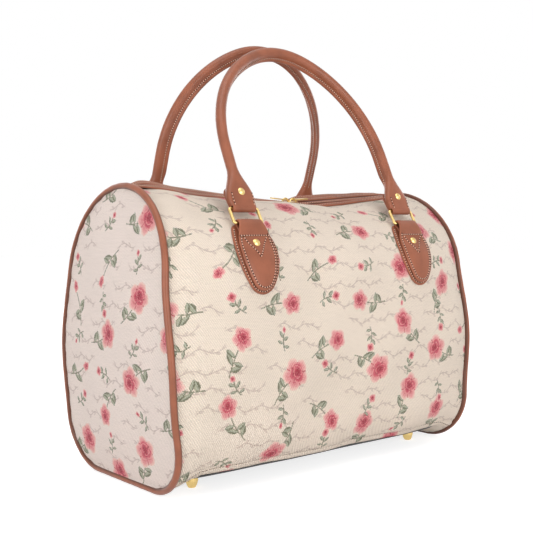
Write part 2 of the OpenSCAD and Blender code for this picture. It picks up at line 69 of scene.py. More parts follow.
def eased(x, knots, values):
    """A curve through values at knots that is level at each knot."""
    at = np.clip(np.searchsorted(knots, x) - 1, 0, len(knots) - 2)
    knots, values = np.asarray(knots, float), np.asarray(values, float)
    return values[at] + (values[at + 1] - values[at])*smooth((x - knots[at])/(knots[at + 1] - knots[at]))


def crowded(count, share):
    """Places from -1 to 1 that crowd towards both ends."""
    return np.sin(np.linspace(-1, 1, count)*np.pi/2*share)/math.sin(np.pi/2*share)


def placed(*parts):
    """Points from their coordinates, any of which may be one number for all."""
    return np.stack(np.broadcast_arrays(*parts), axis=-1)


def middle(u):
    """1 over the middle of the bag, falling to 0 at its ends."""
    return 1 - np.abs(u)**6


def bow(z):
    """How far an end seam stands out at height z."""
    return end_bow*np.sin(np.pi*np.clip((z - seam_low)/end_h, 0, 1))


def arch_middle(u):
    """Middle of the shoulder's arc, as y and z."""
    return mid_swell*middle(u), seam_top - arch_r - mid_sink*middle(u)


def half_section(u, inset, edge_y, steps):
    """Half a cross section at u (-1 to 1 along the bag): shoulder, side, lower corner and base."""
    u = np.atleast_1d(np.asarray(u, float))[:, None]
    arch_y, arch_z = arch_middle(u)
    base_half = (end_depth + (mid_depth - end_depth)*middle(u))/2 - corner_r
    low = seam_low + (base_z - seam_low)*(1 - smooth((np.abs(u) - flat_u)/(1 - flat_u)))
    dy, dz = base_half - arch_y, low + corner_r - arch_z
    slope = np.arctan2(dz, dy) + np.arccos((arch_r - corner_r)/np.hypot(dy, dz))
    out_y, out_z = np.cos(slope), np.sin(slope)
    big, small = arch_r - inset, corner_r - inset
    start = np.arccos((edge_y - arch_y)/big)
    a = start + (slope - start)*np.linspace(0, 1, steps[0] + 1)
    shoulder = [arch_y + big*np.cos(a), arch_z + big*np.sin(a)]
    t = np.linspace(0, 1, steps[1] + 1)[1:-1]
    bulge = side_bulge*np.sin(np.pi*t)**2
    side = [(arch_y + big*out_y)*(1 - t) + (base_half + small*out_y)*t + bulge*out_y,
            (arch_z + big*out_z)*(1 - t) + (low + corner_r + small*out_z)*t + bulge*out_z]
    a = slope + (-np.pi/2 - slope)*np.linspace(0, 1, steps[2] + 1)
    corner = [base_half + small*np.cos(a), low + corner_r + small*np.sin(a)]
    t = np.linspace(0, 1, steps[3] + 1)[1:]
    base = [base_half*(1 - t), np.repeat(low + inset, len(t), axis=1)]
    return [np.concatenate(part, axis=1) for part in zip(shoulder, side, corner, base)]


def zip_line(x):
    """Height of the zip, which hangs lowest at zip_x."""
    run = np.where(x > zip_x, half_l - zip_x, half_l + zip_x)
    return zip_low + (zip_high - zip_low)*np.abs(x - zip_x)/run


def facing_level(x, y, side):
    """Underside of a leather facing at y from the middle of the zip: it twists to and fro along the bag."""
    twist = eased(x, twist_at, twist_deg)
    hump = 3.0*np.exp(-((x + 166)/24)**2)
    tip = hump + side*(lane*zip_tilt + (y - lane)*np.tan(np.radians(twist)))
    free = smooth((half_l - np.abs(x))/30)
    return zip_line(x) + (facing_low + tip)*free - (1 - free)*y*y/(2*arch_r)


def wrap_half(u, side):
    """Front (-1) or rear (1) half of the wrap, from the zip to the middle of the base."""
    y, z = half_section(u, 0.0, wrap_edge, (66, 46, 34, 24))
    u = u[:, None]
    band = facing_level(u*(half_l - seam_in), np.minimum(y, facing_out), side) - under_facing
    to_band = (1 - smooth((y - facing_out - 1)/shoulder_run))*smooth(half_l*(1 - np.abs(u))/28)
    z = np.where(z > arch_middle(u)[1], z + (band - z)*to_band, z)
    return placed(u*(half_l - seam_in + tuck + bow(z)), side*y, z)


def soft_swell(x, v, seed):
    """Slow rise and fall of filled cloth."""
    return (1.5*np.sin(2*np.pi*(x/173 + v/290) + 1.1 + seed)
            + 1.1*np.sin(2*np.pi*(x/118 - v/151) + 0.4 + 2*seed)
            + 0.6*np.sin(2*np.pi*(x/61 + v/93) + 2.2 + 3*seed))


def quad_corners(values):
    """The four corners of each cell of a grid."""
    cells = np.stack([values[:-1, :-1], values[1:, :-1], values[1:, 1:], values[:-1, 1:]], axis=2)
    return cells.reshape(-1, 4, *values.shape[2:])


def linked(name, mesh):
    """A new object for a mesh, smooth all over."""
    mesh.polygons.foreach_set("use_smooth", [True]*len(mesh.polygons))
    piece = bpy.data.objects.new(name, mesh)
    bpy.context.collection.objects.link(piece)
    return piece


def skin(name, grid, cut=None, ring=False, caps=False, flip=False):
    """A mesh over rows of points. ring joins the last column to the first, caps closes the ends with crisp
    edges, and cut holds each quad's four places on the flat cloth, in metres."""
    rows, cols = grid.shape[:2]
    number = np.arange(rows*cols).reshape(rows, cols)
    quads = quad_corners(np.append(number, number[:, :1], axis=1) if ring else number)
    faces = (quads[:, ::-1] if flip else quads).tolist()
    if caps:
        faces += [number[0].tolist(), number[-1][::-1].tolist()]
    mesh = bpy.data.meshes.new(name)
    mesh.from_pydata((grid.reshape(-1, 3)*0.001).tolist(), [], faces)
    if cut is not None:
        layer = mesh.uv_layers.new(name="cut")
        layer.data.foreach_set("uv", (cut[:, ::-1] if flip else cut).astype(np.float32).ravel())
    piece = linked(name, mesh)
    if caps:
        work = bmesh.new()
        work.from_mesh(mesh)
        bmesh.ops.recalc_face_normals(work, faces=work.faces)
        work.faces.ensure_lookup_table()
        for cap in work.faces[-2:]:
            for edge in cap.edges:
                edge.smooth = False
        work.to_mesh(mesh)
        work.free()
    return piece


def thickened(piece, thick):
    """Gives a sheet its thickness on the inner side."""
    wall = piece.modifiers.new("thickness", "SOLIDIFY")
    wall.thickness, wall.offset = thick*0.001, -1


def fitted(piece, material, body="bag", node=None):
    """Gives a piece its finish and the body that carries it, in place of a CAD node if one is named."""
    piece.data.materials.append(material)
    if node:
        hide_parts(node)
    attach(piece, body)


class Field:
    """A number in a material, with plain arithmetic."""

    def __init__(self, tree, socket):
        self.tree, self.socket = tree, socket

    def maths(self, kind, *others):
        node = self.tree.nodes.new("ShaderNodeMath")
        node.operation = kind
        for place, value in zip(node.inputs, (self, *others)):
            feed(self.tree, place, value)
        return Field(self.tree, node.outputs[0])

    def __add__(self, other):
        return self.maths("ADD", other)

    def __sub__(self, other):
        return self.maths("SUBTRACT", other)

    def __mul__(self, other):
        return self.maths("MULTIPLY", other)

    def above(self, other):
        return self.maths("GREATER_THAN", other)

    def below(self, other):
        return self.maths("LESS_THAN", other)

    def size(self):
        return self.maths("ABSOLUTE")

    def floor(self):
        return self.maths("FLOOR")

    def part(self):
        return self.maths("FRACT")

    def sin(self, wave=None):
        return (self*(2*math.pi/wave) if wave else self).maths("SINE")

    def between(self, low, high, new_low=0.0, new_high=1.0):
        node = self.tree.nodes.new("ShaderNodeMapRange")
        node.interpolation_type = "SMOOTHSTEP"
        for place, value in zip(node.inputs, (self, low, high, new_low, new_high)):
            feed(self.tree, place, value)
        return Field(self.tree, node.outputs["Result"])


def feed(tree, place, value):
    """Sets a socket to a value, or links it to a Field or to another socket."""
    value = value.socket if isinstance(value, Field) else value
    if isinstance(value, bpy.types.NodeSocket):
        tree.links.new(value, place)
    else:
        place.default_value = value


def add(tree, kind, **inputs):
    """A new node with the inputs that are named set or linked."""
    node = tree.nodes.new(kind)
    for label, value in inputs.items():
        feed(tree, node.inputs[label.replace("_", " ")], value)
    return node


def finish_of(name, roughness, metallic=0.0, sheen=0.0):
    """A new material with its node tree and its surface node."""
    material = bpy.data.materials.new(name)
    material.use_nodes = True
    surface = material.node_tree.nodes["Principled BSDF"]
    for label, value in (("Roughness", roughness), ("Metallic", metallic), ("Sheen Weight", sheen)):
        surface.inputs[label].default_value = value
    return material, material.node_tree, surface


def blended(tree, share, under, over, kind="MIX"):
    """Colour under with colour over laid on it; share is a Field or a number."""
    node = tree.nodes.new("ShaderNodeMix")
    node.data_type, node.blend_type = "RGBA", kind
    feed(tree, node.inputs[0], share)
    for place, colour in ((node.inputs[6], under), (node.inputs[7], over)):
        feed(tree, place, colour if isinstance(colour, bpy.types.NodeSocket) else (*colour, 1))
    return node.outputs[2]


def toned(colour, share):
    """A colour made darker or lighter."""
    return [min(0.97, c*share) for c in colour]


def joined(tree, x, y, z=0.0):
    return add(tree, "ShaderNodeCombineXYZ", X=x, Y=y, Z=z).outputs[0]


def split(tree, vector):
    return [Field(tree, out) for out in add(tree, "ShaderNodeSeparateXYZ", Vector=vector).outputs]


def vector_maths(tree, kind, vector, values=(0, 0, 0), output="Vector"):
    node = tree.nodes.new("ShaderNodeVectorMath")
    node.operation = kind
    tree.links.new(vector, node.inputs[0])
    node.inputs[1].default_value = values
    return node.outputs[output]


def noise(tree, place, scale, detail=2.0):
    """Soft noise over a vector, or along a Field."""
    node = add(tree, "ShaderNodeTexNoise", Scale=scale, Detail=detail)
    node.noise_dimensions, label = ("1D", "W") if isinstance(place, Field) else ("3D", "Vector")
    feed(tree, node.inputs[label], place)
    return Field(tree, node.outputs["Fac"])


def raised(tree, surface, height, strength, distance):
    """Bump from a height Field."""
    bump = add(tree, "ShaderNodeBump", Strength=strength, Distance=distance, Height=height)
    tree.links.new(bump.outputs[0], surface.inputs["Normal"])


def drop_cell(tree, x, y, wide, high, shift, seed):
    """Half-drop repeat: place within a cell, and four random numbers that belong to the cell."""
    col = x*(1/wide)
    col_floor = col.floor()
    row = (y + shift)*(1/high) + (col_floor*0.5).part()
    row_floor = row.floor()
    drawn = add(tree, "ShaderNodeTexWhiteNoise", Vector=joined(tree, col_floor, row_floor, seed)).outputs
    chance = split(tree, drawn["Color"]) + [Field(tree, drawn["Value"])]
    return (col - col_floor - 0.5)*wide, (row - row_floor - 0.5)*high, chance


def turned_by(tree, x, y, angle):
    node = add(tree, "ShaderNodeVectorRotate", Vector=joined(tree, x, y), Angle=angle)
    node.rotation_type = "Z_AXIS"
    return split(tree, node.outputs[0])[:2]


def leaf_pair(x, y, length, width, angle):
    """Leaves either side of a stem: how far a point lies inside one, and which half of it."""
    along = x*math.cos(angle) + y*math.sin(angle)
    off = y*math.cos(angle) - x*math.sin(angle)
    t = along*(1/length)
    return t*(t*-1 + 1)*(4*width) - off.size(), off


def petals(tree, colour, far, angle, reach, count, phase, tones):
    """One ring of petals over the colour: scalloped edge, pale rim, deep heart, dark between petals."""
    pale, body, deep = tones
    lobe = (angle*(count/2) + phase).sin().size()
    edge = (lobe*0.24 + 0.76)*reach
    depth = (edge - far)*(1/reach)
    shade = blended(tree, depth.between(0.02, 0.26), pale, body)
    shade = blended(tree, depth.between(0.26, 0.62), shade, deep)
    shade = blended(tree, lobe.between(0.03, 0.26, 0.95, 0.0), shade, deep)
    return blended(tree, far.below(edge), colour, shade)


vine_row, vine_mid, vine_step, vine_leaf = 19.5, 9.7, 23.7, 6.2
vine_brown = (0.34, 0.20, 0.18)


def garland(tree, colour, x, y):
    """Faint rows of a leafy vine, drawn in one thread."""
    row = (y*(1/vine_row)).floor()
    run = x + row*vine_step
    rise = y - row*vine_row - vine_mid - run.sin(31.0)*2.6 - run.sin(83.0)*1.3
    vine = rise.size().between(0.25, 0.75, 1.0, 0.0)
    leaf = run*(1/vine_leaf)
    leaf_floor = leaf.floor()
    side = (leaf_floor*0.5).part()*4 - 1
    along, off = (leaf - leaf_floor)*vine_leaf, rise*side
    inside = along*(along*-1 + vine_leaf)*0.16 - (off - along*0.55).size()
    leaflet = inside.between(0.0, 0.5)*inside.between(0.5, 1.1, 1.0, 0.45)
    gap = noise(tree, run, 0.021, 0.0).between(0.42, 0.5)
    return blended(tree, vine.maths("MAXIMUM", leaflet)*gap*0.50, colour, vine_brown)


cell_w, cell_h = 60, 76
stem_green, vein_green = (0.20, 0.20, 0.12), (0.56, 0.58, 0.47)
grey_green, deep_green = (0.51, 0.51, 0.37), (0.175, 0.18, 0.105)
rose_tones = ((0.88, 0.36, 0.35), (0.66, 0.075, 0.125), (0.40, 0.006, 0.035))
outer_tones = ((0.93, 0.62, 0.54), (0.84, 0.33, 0.33), (0.58, 0.045, 0.09))
# radius and head each give a plain value, what a large bloom adds and what a half-open one adds. A leaf is
# its height on the stem, length, width and angle, and a ring of petals its reach, count and phase.
full_bloom = {"shift": 0, "turn": 5.2, "radius": (12.5, 3.0, -5.0), "head": (13.0, -2.0, 3.0), "foot": -27.0,
              "bend": 0.008, "stagger": 2.6, "leaves": ((-18, 14, 2.9, 0.70), (-10, 12, 2.5, 0.20)),
              "rings": ((1.06, 5, 0.0), (0.72, 3, 1.0), (0.40, 2, 2.1))}
small_bud = {"shift": 38, "turn": 6.2, "radius": (3.8, 1.6, 0.0), "head": (8.0, 1.0, 0.0), "foot": -13.0,
             "bend": 0.022, "stagger": 1.4, "leaves": ((-2, 9, 1.8, 0.75), (-8, 8, 1.6, 0.25)),
             "rings": ((1.0, 4, 0.0), (0.55, 2, 1.1))}


def sprig(tree, colour, thread, seed, shift, turn, radius, head, foot, bend, stagger, leaves, rings):
    """A half-drop repeat of one bloom on a stem with two pairs of leaves, each turned at random."""
    x, y, _ = split(tree, thread)
    x, y, chance = drop_cell(tree, x, y, cell_w, cell_h, shift, seed)
    x, y = turned_by(tree, x + chance[0]*7 - 3.5, y + chance[1]*14 - 7, (chance[2] - 0.5)*turn)
    large, half_open = chance[3].below(0.5), chance[3].above(0.78)
    radius, head = (large*more + plain + half_open*bud for plain, more, bud in (radius, head))
    stem_x = x - y*y*bend
    stem = stem_x.size().below(0.65)*y.below(head)*y.above(foot)
    colour = blended(tree, stem*0.9, colour, stem_green)
    for height, length, width, angle in leaves:
        leaf_y = y + stem_x.maths("SIGN")*stagger - height
        inside, off = leaf_pair(stem_x.size(), leaf_y, length, width, angle)
        green = blended(tree, off.between(-width*0.4, width*0.7), deep_green, grey_green)
        green = blended(tree, off.size().below(0.5)*0.6, green, vein_green)
        green = blended(tree, inside.below(0.7)*0.7, green, deep_green)
        colour = blended(tree, inside.above(0), colour, green)
    y = y - head
    across = x*(half_open*0.35 + chance[0]*0.25 + 0.95)
    far = Field(tree, vector_maths(tree, "LENGTH", joined(tree, across, y), output="Value"))
    far = far.maths("DIVIDE", radius) + noise(tree, thread, 0.22, 1.0)*0.24 - 0.12
    angle = y.maths("ARCTAN2", x)
    for number, (reach, count, phase) in enumerate(rings):
        heart = y.between(-6, 5, 0.16, -0.10)*(0.8*number)
        colour = petals(tree, colour, far + heart, angle, reach, count, chance[1]*6 + phase,
                        rose_tones if number else outer_tones)
    return colour


def tapestry(name, ground, seed):
    """Woven tapestry: blooms on stems in a half-drop repeat, small buds between, and faint rows of vine."""
    material, tree, surface = finish_of(name, 0.92, sheen=0.08)
    place = tree.nodes.new("ShaderNodeUVMap")
    place.uv_map = "cut"
    cloth = vector_maths(tree, "MULTIPLY", place.outputs[0], (1000, 1000, 0))
    thread = vector_maths(tree, "SNAP", cloth, (0.8, 0.8, 1))
    slub = noise(tree, vector_maths(tree, "MULTIPLY", cloth, (0.05, 0.6, 0)), 1.0, 3.0)
    colour = blended(tree, slub.between(0.35, 0.7, 0.0, 0.6), ground, toned(ground, 0.93))
    colour = garland(tree, colour, *split(tree, thread)[:2])
    colour = sprig(tree, colour, thread, seed, **full_bloom)
    colour = sprig(tree, colour, thread, seed + 9, **small_bud)
    fleck = noise(tree, cloth, 1.1, 1.0)
    x, y, _ = split(tree, cloth)
    twill = (x + y*0.6).sin(2.3)*0.6 + y.sin(1.3)*0.4
    colour = blended(tree, fleck.between(0.45, 0.75, 0.0, 0.26), colour, toned(ground, 1.08))
    colour = blended(tree, fleck.between(0.25, 0.5, 0.30, 0.0), colour, (0.47, 0.42, 0.40), "MULTIPLY")
    colour = blended(tree, twill.between(-0.9, 0.5, 0.38, 0.0), colour, (0.50, 0.46, 0.44), "MULTIPLY")
    tree.links.new(colour, surface.inputs["Base Color"])
    raised(tree, surface, twill + fleck*0.8, 0.8, 0.0009)
    return material


wrap_u = crowded(131, 0.86)
front_half, rear_half = wrap_half(wrap_u, -1), wrap_half(wrap_u, 1)
wrap = np.concatenate([front_half, rear_half[:, -2::-1]], axis=1).transpose(1, 0, 2)
base_row, mid_col = front_half.shape[1] - 1, len(wrap_u)//2
step = np.linalg.norm(np.diff(wrap, axis=0), axis=-1)
length_up = np.concatenate([np.zeros((1, wrap.shape[1])), np.cumsum(step, axis=0)])
wrap_x = wrap[..., 0]
up = length_up[base_row] - length_up            # along the cloth from the middle of the base, up the front
from_base = np.abs(up)
from_seam = half_l - seam_in + bow(wrap[..., 2]) - np.abs(wrap_x)
from_zip = np.minimum(length_up, length_up[-1] - length_up)
to_tab = np.hypot(np.abs(wrap_x) - tab_x, 0.75*(from_zip - tab_down))
# The swell dies away at the seams, the zip, the base and under the tabs.
calm = smooth(from_seam/55)*smooth((from_zip - 8)/60)*smooth((from_base - 70)/60)*smooth((to_tab - 38)/45)
swell = soft_swell(wrap_x, up, 0.0)*calm
pucker = np.exp(-from_seam/9)*smooth(from_seam/2)*smooth((from_base - 60)/40)
swell += 0.7*pucker*np.sin(2*np.pi*up/19 + 1.7*np.sin(2*np.pi*up/83))
swell -= 1.7*np.exp(-((from_base - crease_up)/1.5)**2) - 0.9*np.exp(-((from_base - crease_up + 5)/4)**2)
tab_y, tab_z = arch_middle(tab_x/half_l)
to_axis = np.hypot(np.abs(wrap[..., 1]) - tab_y, wrap[..., 2] - tab_z)
swell += np.clip(arch_r + 0.6 - to_axis, 0, 3)*smooth((56 - to_tab)/20)
wrap_out = np.cross(np.gradient(wrap, axis=0), np.gradient(wrap, axis=1))
wrap_out /= np.maximum(np.linalg.norm(wrap_out, axis=-1, keepdims=True), 1e-9)
wrap = wrap + wrap_out*swell[..., None]

# The rear has its own print, upright, from the crease at the foot of the back.
rear_row = int(np.argmin(np.abs(up[:, mid_col] + crease_up)))
rear_print = 1500
front_cut = placed(wrap[..., 0], up)*0.001
rear_cut = placed(rear_print - wrap[..., 0], -up)*0.001
on_front = np.repeat(np.arange(wrap.shape[0] - 1) < rear_row, wrap.shape[1] - 1)[:, None, None]
wrap_cut = np.where(on_front, quad_corners(front_cut), quad_corners(rear_cut))
tapestry_wrap = skin("tapestry_wrap", wrap, wrap_cut)
thickened(tapestry_wrap, cloth_t)
fitted(tapestry_wrap, tapestry("tapestry_front", (0.92, 0.79, 0.665), 3.0), node="main_panel")

# End panels: an arched piece of the same tapestry at each end, sewn into the piping all round and pushed out
# by what the bag holds. The light end cloth is cut with its print upright.
ends = (("left", -1), ("right", 1))
end_cloth = tapestry("tapestry_end", (0.93, 0.80, 0.73), 21.0)
end_swell, end_tip = 5, arch_r*0.04
end_print, end_print_apart, end_print_up = 3000, 700, 40
base_steps = 16
end_y, end_z = half_section(1, seam_in - 0.6 - tuck, end_tip, (40, 30, 22, base_steps))
end_y, end_z = end_y[0, :-base_steps], end_z[0, :-base_steps]
across = crowded(61, 0.8)
round_seam = np.concatenate([[0], np.cumsum(np.hypot(np.diff(end_y), np.diff(end_z)))])[:, None]
for end, side in ends:
    y = np.maximum(end_y, end_tip)[:, None]*across
    z = end_z[:, None]
    share = np.sin(np.pi*np.clip((z - seam_low)/end_h, 0, 1))
    rim = np.minimum(end_y[:, None]*(1 - np.abs(across)), np.minimum(seam_top - z, z - seam_low))
    x = half_l + bow(z) + cloth_t/2 + end_swell*(1 - across**2)*np.sqrt(share)
    x = x + soft_swell(y, z, 1.3*side)*0.7*smooth(rim/45)
    x = x + 0.6*np.exp(-rim/8)*smooth(rim/2)*np.sin(2*np.pi*round_seam/21 + side)
    flat = placed(end_print + side*(end_print_apart - y), z + end_print_up)*0.001
    panel = skin(f"end_cloth_{end}", placed(side*x, y, z), quad_corners(flat), flip=side < 0)
    thickened(panel, cloth_t)
    fitted(panel, end_cloth, node=f"end_panel_{end}")

# Piping: a soft cord wrapped in tan leather and caught in the seam round each end panel. The leather is
# smooth, a little creased on the tight side of the corners, and darker along the seam with painted shade.
pipe_r = 3.6


def in_place(tree):
    """The place on a piece, in metres."""
    return tree.nodes.new("ShaderNodeTexCoord").outputs["Object"]


def leather(name, colour, roughness=0.46, grain=1.0, seam_shaded=False):
    """Smooth tan leather: fine pebbled grain, soft change of tone, a little shine, painted shade in a seam.
    """
    material, tree, surface = finish_of(name, roughness)
    surface.inputs["Specular IOR Level"].default_value = 0.32
    place = in_place(tree)
    cloud = noise(tree, place, 45.0, 3.0)
    pore = add(tree, "ShaderNodeTexVoronoi", Scale=1100.0, Vector=place)
    crumb = noise(tree, place, 700.0, 2.0)
    tone = blended(tree, cloud.between(0.3, 0.7), toned(colour, 0.86), toned(colour, 1.12))
    tone = blended(tree, crumb.between(0.55, 0.8, 0.0, 0.25), tone, toned(colour, 0.6))
    # Painted shade: the side of the cord away from its crown, where it meets the seam, is darkened.
    if seam_shaded:
        crown = tree.nodes.new("ShaderNodeAttribute")
        crown.attribute_name = "crown"
        painted_seam_shade = Field(tree, crown.outputs["Fac"]).between(0.05, 0.75, 0.85, 0.0)
        tone = blended(tree, painted_seam_shade, tone, toned(colour, 0.30))
    tree.links.new(tone, surface.inputs["Base Color"])
    feed(tree, surface.inputs["Roughness"], cloud.between(0.2, 0.8, roughness - 0.07, roughness + 0.09))
    raised(tree, surface, Field(tree, pore.outputs["Distance"]) + crumb*0.6, 0.16*grain, 0.0004)
    return material


tan = (0.262, 0.084, 0.043)
tan_leather = leather("tan_leather", tan)
piping_leather = leather("piping_leather", tan, 0.36, 0.7, True)
pipe_y, pipe_z = [part[0] for part in half_section(1, 0.0, 0.0, (70, 44, 44, 34))]
pipe_y, pipe_z = np.append(pipe_y, -pipe_y[-2:0:-1]), np.append(pipe_z, pipe_z[-2:0:-1])
pipe_line = placed(pipe_y, pipe_z)
run = np.roll(pipe_line, -1, axis=0) - np.roll(pipe_line, 1, axis=0)
run /= np.linalg.norm(run, axis=1, keepdims=True)
turn = np.linspace(0, 2*np.pi, 17)[:-1]
stop = np.arange(len(pipe_line))[:, None]
for end, side in ends:
    girth = pipe_r*(1 + 0.012*np.sin(stop*0.9) + 0.012*np.sin(stop*0.37 + side))
    ring_y = pipe_y[:, None] - girth*np.cos(turn)*run[:, 1:]
    ring_z = pipe_z[:, None] + girth*np.cos(turn)*run[:, :1]
    ring_x = side*(half_l + bow(pipe_z)[:, None] + girth*np.sin(turn))
    grid = placed(ring_x, ring_y, ring_z)
    grid = np.concatenate([grid, grid[:1]])
    cord = skin(f"leather_piping_{end}", grid, ring=True, flip=side < 0)
    # crown: 1 on the cord's outer crown, falling to -1 on its far side; the painted seam shade darkens where
    # it is low.
    crown = cord.data.attributes.new("crown", "FLOAT", "POINT")
    crown.data.foreach_set("value", np.tile(np.cos(turn - np.pi/4), len(grid)).astype(np.float32))
    work = bmesh.new()
    work.from_mesh(cord.data)
    bmesh.ops.remove_doubles(work, verts=work.verts, dist=1e-6)
    bmesh.ops.recalc_face_normals(work, faces=work.faces)
    work.to_mesh(cord.data)
    work.free()
    fitted(cord, piping_leather, node=f"piping_{end}")

# Lining: plain brown cloth cut like the outside and hung inside it from the same seams, over the base
# board. It is the tapestry's own shape set in by the cloth's thickness.
lining_t, lining_in, lining_end_in = 0.4, 3.1, 3.6
board_top, below_seam = 17.9, 8
lining_short, lining_end_short = 0.978, 0.965
lining_rib = 0.0012


def two_tone(name, roughness, dark, light, pattern, strength=0.3, distance=0.0003):
    """A finish that goes from dark to light. pattern takes the node tree and the place on the piece, and
    gives the share of light and, where the surface has relief, its height."""
    material, tree, surface = finish_of(name, roughness)
    share, *height = pattern(tree, in_place(tree))
    tree.links.new(blended(tree, share, dark, light), surface.inputs["Base Color"])
    if height:
        raised(tree, surface, *height, strength, distance)
    return material


def plain_weave(tree, place):
    x, y, z = split(tree, place)
    return noise(tree, place, 60.0, 3.0), (x + y).sin(lining_rib)*(z - x).sin(lining_rib)


lining_cloth = two_tone("lining_cloth", 0.85, (0.36, 0.26, 0.17), (0.50, 0.38, 0.27), plain_weave)
lining = (wrap[::3, ::3] - wrap_out[::3, ::3]*lining_in)[1:-1]
lining[..., 2] = np.maximum(lining[..., 2], board_top)
lining[..., 0] *= lining_short
lining_wrap = skin("lining_wrap_cloth", lining)
thickened(lining_wrap, lining_t)
fitted(lining_wrap, lining_cloth, node="lining_wrap")
for end, side in ends:
    outer = bpy.data.objects[f"end_cloth_{end}"].data
    grid = np.array([v.co for v in outer.vertices]).reshape(len(end_y), len(across), 3)[::2, ::3]*1000
    grid = grid*(1, lining_end_short, 1) - np.array([side*lining_end_in, 0, 0])
    grid[..., 2] = np.clip(grid[..., 2], board_top, seam_top - below_seam)
    hung = skin(f"lining_end_cloth_{end}", grid, flip=side < 0)
    thickened(hung, lining_t)
    fitted(hung, lining_cloth, node=f"lining_end_{end}")

# Base: a stiff board between tapestry and lining, and under the tapestry a thin near-black sheet of painted
# shade for the underside, reaching into the lower corners, through which the turned brass feet are fixed.
# How far up the cloth, how far out from it and how thick the sheet of painted shade is.
shade_sheet_up, shade_sheet_off, shade_sheet_t = 93.0, 0.35, 0.3


def board_fibre(tree, place):
    fibre = noise(tree, vector_maths(tree, "MULTIPLY", place, (1, 6, 6)), 120.0, 4.0)
    return fibre, fibre


def dress(node, material):
    """Gives a CAD node its finish."""
    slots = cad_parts[node].data.materials
    slots.clear()
    slots.append(material)


def brass(name, colour, roughness):
    """Lacquered yellow brass with faint turning marks and finger dulling."""
    material, tree, surface = finish_of(name, roughness, metallic=1.0)
    place = in_place(tree)
    cloud = noise(tree, place, 160.0, 3.0)
    scratch = noise(tree, vector_maths(tree, "MULTIPLY", place, (1, 1, 9)), 900.0, 2.0)
    tone = blended(tree, cloud.between(0.3, 0.75, 0.0, 0.5), colour, toned(colour, 0.72))
    tree.links.new(tone, surface.inputs["Base Color"])
    feed(tree, surface.inputs["Roughness"], cloud*0.14 + scratch*0.08 + (roughness - 0.1))
    raised(tree, surface, scratch, 0.05, 0.0002)
    return material


dress("base_board", two_tone("base_board_stock", 0.7, (0.24, 0.19, 0.14), (0.36, 0.30, 0.23), board_fibre,
                             0.2, 0.0004))
# A near-black sheet just outside the cloth under the base: painted shade for the underside.
shade_sheet = (wrap + wrap_out*shade_sheet_off)[np.abs(up[:, mid_col]) <= shade_sheet_up][:, np.abs(wrap_u) <= flat_u]
base_shade_sheet = skin("base_shade_sheet", shade_sheet)
thickened(base_shade_sheet, shade_sheet_t)
fitted(base_shade_sheet, leather("underside_painted_shade", (0.010, 0.007, 0.007), 0.6))
polished_brass = brass("polished_brass", (0.78, 0.57, 0.23), 0.28)
faces = (("front", -1), ("rear", 1))
corners = [(f"{face}_{end}", sx, sy) for face, sy in faces for end, sx in ends]
for corner, _, _ in corners:
    dress(f"foot_{corner}", polished_brass)

# Stitching: waxed thread in even back stitch, each stitch dipping into a hole at both ends, where a
# near-black ball is painted shade. One tree of nodes sews every seam of the bag along the lines that it is
# given.
stitch_share, seam_off, seam_ends = 0.66, 0.15, 3


def ply(tree, place):
    return [noise(tree, place, 1500.0, 2.0)]


thread_tan = two_tone("thread_tan", 0.6, (0.60, 0.33, 0.235), (0.83, 0.56, 0.42), ply)
# Needle holes: near-black balls of painted shade where the thread goes into the leather.
needle_hole_shade = two_tone("needle_hole_shade", 0.9, (0.018, 0.005, 0.003), (0.04, 0.012, 0.007), ply)
cream_thread = two_tone("thread_cream", 0.8, (0.30, 0.21, 0.15), (0.46, 0.35, 0.26), ply)


def line_tree(name, kinds):
    """A tree of nodes that takes a line and named inputs: the tree, the inputs' keys, its two ends, the line
    as a curve, and points along it a Pitch apart."""
    tree = bpy.data.node_groups.new(name, "GeometryNodeTree")
    tree.interface.new_socket("Geometry", in_out="INPUT", socket_type="NodeSocketGeometry")
    keys = {}
    for label, kind in kinds.items():
        kind = "NodeSocket" + kind
        keys[label] = tree.interface.new_socket(label, in_out="INPUT", socket_type=kind).identifier
    tree.interface.new_socket("Geometry", in_out="OUTPUT", socket_type="NodeSocketGeometry")
    given, made = add(tree, "NodeGroupInput").outputs, add(tree, "NodeGroupOutput")
    curve = add(tree, "GeometryNodeMeshToCurve", Mesh=given["Geometry"]).outputs["Curve"]
    every = add(tree, "GeometryNodeCurveToPoints", Curve=curve)
    every.mode = "LENGTH"
    feed(tree, every.inputs["Length"], given["Pitch"])
    return tree, keys, given, made, curve, every.outputs


sewing, sewing_keys, given, made, _, every = line_tree("back_stitch", {
    "Pitch": "Float", "Stitch length": "Float", "Thread": "Float", "Hole": "Float",
    "Thread material": "Material", "Hole material": "Material"})
aim = add(sewing, "FunctionNodeAlignRotationToVector", Vector=every["Tangent"])
aim.axis = "X"
both = add(sewing, "GeometryNodeJoinGeometry")
sewing.links.new(both.outputs[0], made.inputs[0])
# The thread, and half a stitch on, a ball of painted shade for the needle hole.
for long_by, wide_by, finish, shift in (("Stitch length", "Thread", "Thread material", 0.0),
                                        ("Hole", "Hole", "Hole material", 0.5)):
    ball = add(sewing, "GeometryNodeMeshUVSphere", Segments=6, Rings=4, Radius=0.5)
    shape = joined(sewing, given[long_by], given[wide_by], given[wide_by])
    along = add(sewing, "ShaderNodeVectorMath", Vector=every["Tangent"])
    along.operation = "SCALE"
    feed(sewing, along.inputs["Scale"], Field(sewing, given["Pitch"])*shift)
    moved = add(sewing, "GeometryNodeSetPosition", Geometry=every["Points"], Offset=along.outputs[0])
    sown = add(sewing, "GeometryNodeInstanceOnPoints", Points=moved.outputs[0], Instance=ball.outputs["Mesh"],
               Rotation=aim.outputs[0], Scale=shape)
    real = add(sewing, "GeometryNodeRealizeInstances", Geometry=sown.outputs[0])
    coat = add(sewing, "GeometryNodeSetMaterial", Geometry=real.outputs[0], Material=given[finish])
    sewing.links.new(coat.outputs[0], both.inputs[0])


